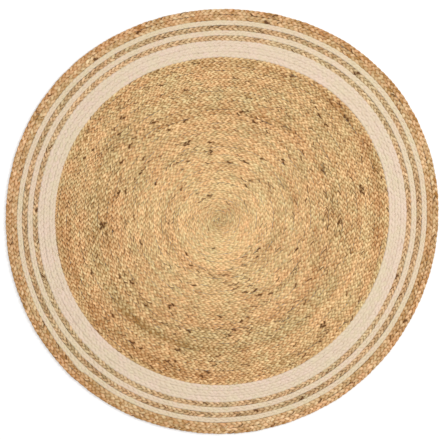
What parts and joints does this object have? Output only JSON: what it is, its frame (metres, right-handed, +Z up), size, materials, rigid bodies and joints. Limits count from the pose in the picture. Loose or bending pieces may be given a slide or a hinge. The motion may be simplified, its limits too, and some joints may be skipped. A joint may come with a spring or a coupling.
{
  "type": "round jute rug",
  "caption": "Flat round rug of plaited jute coiled and sewn edge to edge, ringed near the rim with rows of cream plait.",
  "frame": {"origin": "on the floor, under the middle of the rug's outline", "axes": "+Z up out of the floor through the rug's thickness; +X to the right and +Y to the top of the view from above"},
  "size_m": [1.2066, 1.1836, 0.009],
  "materials": {
    "jute_plait": "dry fibrous jute yarn, matt",
    "cream_plait": "bleached cream yarn, matt"
  },
  "bodies": {
    "root": {"jute_field": "jute_plait", "cream_band": "cream_plait", "jute_ring_inner": "jute_plait", "cream_ring_inner": "cream_plait", "jute_ring_outer": "jute_plait", "cream_ring_outer": "cream_plait", "jute_border": "jute_plait"}
  },
  "joints": []
}
